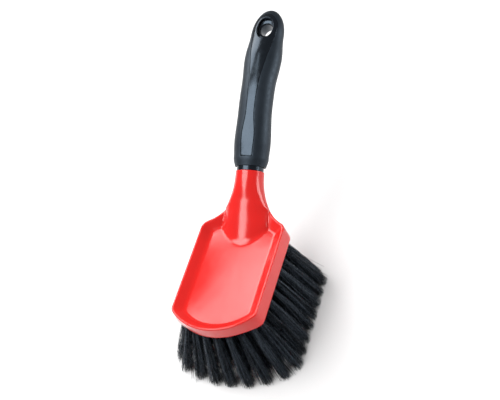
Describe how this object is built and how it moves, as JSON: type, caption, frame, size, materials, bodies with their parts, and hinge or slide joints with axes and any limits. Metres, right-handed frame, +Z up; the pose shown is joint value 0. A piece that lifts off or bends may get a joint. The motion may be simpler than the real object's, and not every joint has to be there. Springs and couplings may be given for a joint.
{
  "type": "wheel brush",
  "caption": "Hand wheel brush: a dished glossy head on a raised, arched soft-grip handle with a hang hole, and fanned black bristle tufts trimmed level below.",
  "frame": {"origin": "on the plane of the trimmed tuft tips, under the middle of the outer box", "axes": "+X from the head towards the handle's end, +Y the brush's right side seen from the handle, +Z up, away from the tufts"},
  "size_m": [0.3051, 0.119, 0.1607],
  "materials": {
    "head_plastic": "glossy moulded red polypropylene",
    "core_plastic": "glossy moulded black polypropylene",
    "grip_rubber": "satin black thermoplastic elastomer, moulded over the core",
    "bristle": "black drawn synthetic filament in tufts",
    "staple": "galvanised flat anchor wire"
  },
  "bodies": {
    "root": {"head_body": "head_plastic", "handle_core": "core_plastic", "grip_sleeve": "grip_rubber", "tufts_outer_front": "bristle", "tufts_outer_left": "bristle", "tufts_outer_right": "bristle", "tufts_outer_rear": "bristle", "tufts_middle_front": "bristle", "tufts_middle_left": "bristle", "tufts_middle_right": "bristle", "tufts_middle_rear": "bristle", "tufts_inner_front": "bristle", "tufts_inner_left": "bristle", "tufts_inner_right": "bristle", "tufts_inner_rear": "bristle", "tufts_centre_row": "bristle", "staples_outer_front": "staple", "staples_outer_left": "staple", "staples_outer_right": "staple", "staples_outer_rear": "staple", "staples_middle_front": "staple", "staples_middle_left": "staple", "staples_middle_right": "staple", "staples_middle_rear": "staple", "staples_inner_front": "staple", "staples_inner_left": "staple", "staples_inner_right": "staple", "staples_inner_rear": "staple", "staples_centre_row": "staple"}
  },
  "joints": []
}
